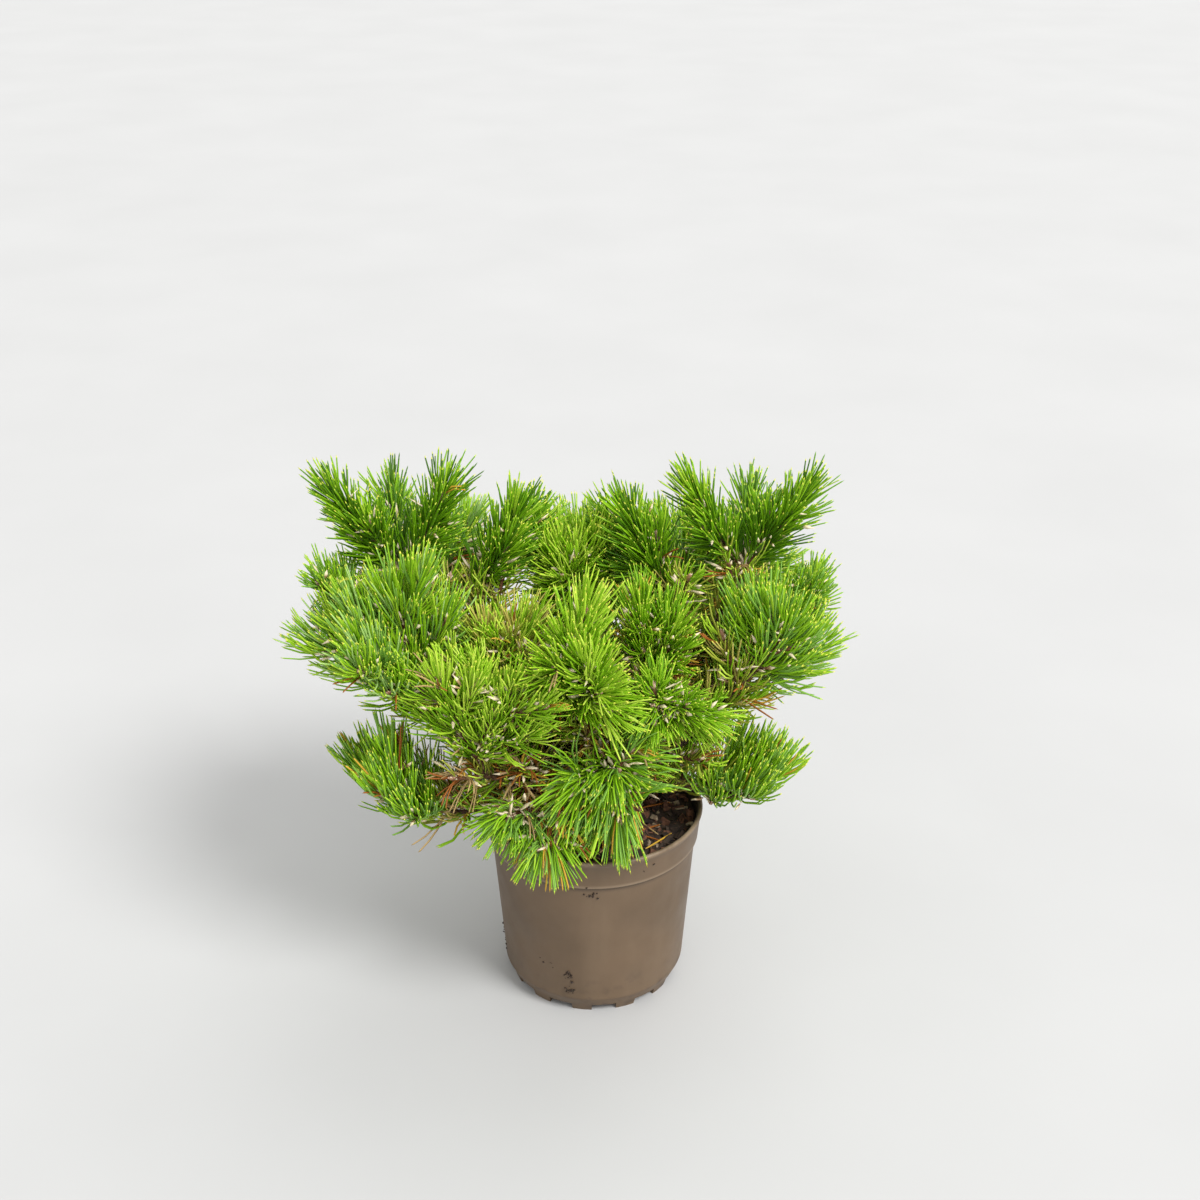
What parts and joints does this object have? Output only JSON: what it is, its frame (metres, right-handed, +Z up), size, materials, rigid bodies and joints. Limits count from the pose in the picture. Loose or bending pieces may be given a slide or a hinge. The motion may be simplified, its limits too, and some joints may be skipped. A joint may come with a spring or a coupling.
{
  "type": "potted dwarf austrian pine",
  "caption": "Dwarf pine with stiff green needles on upswept shoots, in moist potting soil, in a round tapered nursery pot with a lip, a collar and low feet.",
  "frame": {"origin": "on the floor under the middle of the pot, in the plane of its feet", "axes": "+Z up, -Y to the front of the picture, +X to its right"},
  "size_m": [0.4837, 0.4091, 0.4937],
  "materials": {
    "pot": "moulded taupe plastic with a soft sheen, a little soil on it",
    "soil": "moist dark compost with bark chips",
    "bark": "rough grey-brown bark",
    "needles": "stiff glossy green needles with yellow-green tips"
  },
  "bodies": {
    "root": {"pot": "pot", "potting_soil": "soil", "trunk": "bark", "bough_lower_front": "bark", "bough_lower_front_left": "bark", "bough_centre_front": "bark", "bough_front_left": "bark", "bough_left_middle": "bark", "bough_lower_left": "bark", "bough_far_left": "bark", "bough_upper_left": "bark", "bough_upper_middle_left": "bark", "bough_back_centre": "bark", "bough_upper_middle_right": "bark", "bough_upper_right": "bark", "bough_right_middle": "bark", "bough_far_right": "bark", "bough_lower_right": "bark", "bough_right_front": "bark", "bough_back_left": "bark", "bough_back": "bark", "bough_back_right": "bark", "bough_lower_back_left": "bark", "bough_lower_back_right": "bark", "bough_inner_left": "bark", "bough_inner_right": "bark", "foliage_lower_front": "needles", "foliage_lower_front_left": "needles", "foliage_centre_front": "needles", "foliage_front_left": "needles", "foliage_left_middle": "needles", "foliage_lower_left": "needles", "foliage_far_left": "needles", "foliage_upper_left": "needles", "foliage_upper_middle_left": "needles", "foliage_back_centre": "needles", "foliage_upper_middle_right": "needles", "foliage_upper_right": "needles", "foliage_right_middle": "needles", "foliage_far_right": "needles", "foliage_lower_right": "needles", "foliage_right_front": "needles", "foliage_back_left": "needles", "foliage_back": "needles", "foliage_back_right": "needles", "foliage_lower_back_left": "needles", "foliage_lower_back_right": "needles", "foliage_inner_left": "needles", "foliage_inner_right": "needles"}
  },
  "joints": []
}
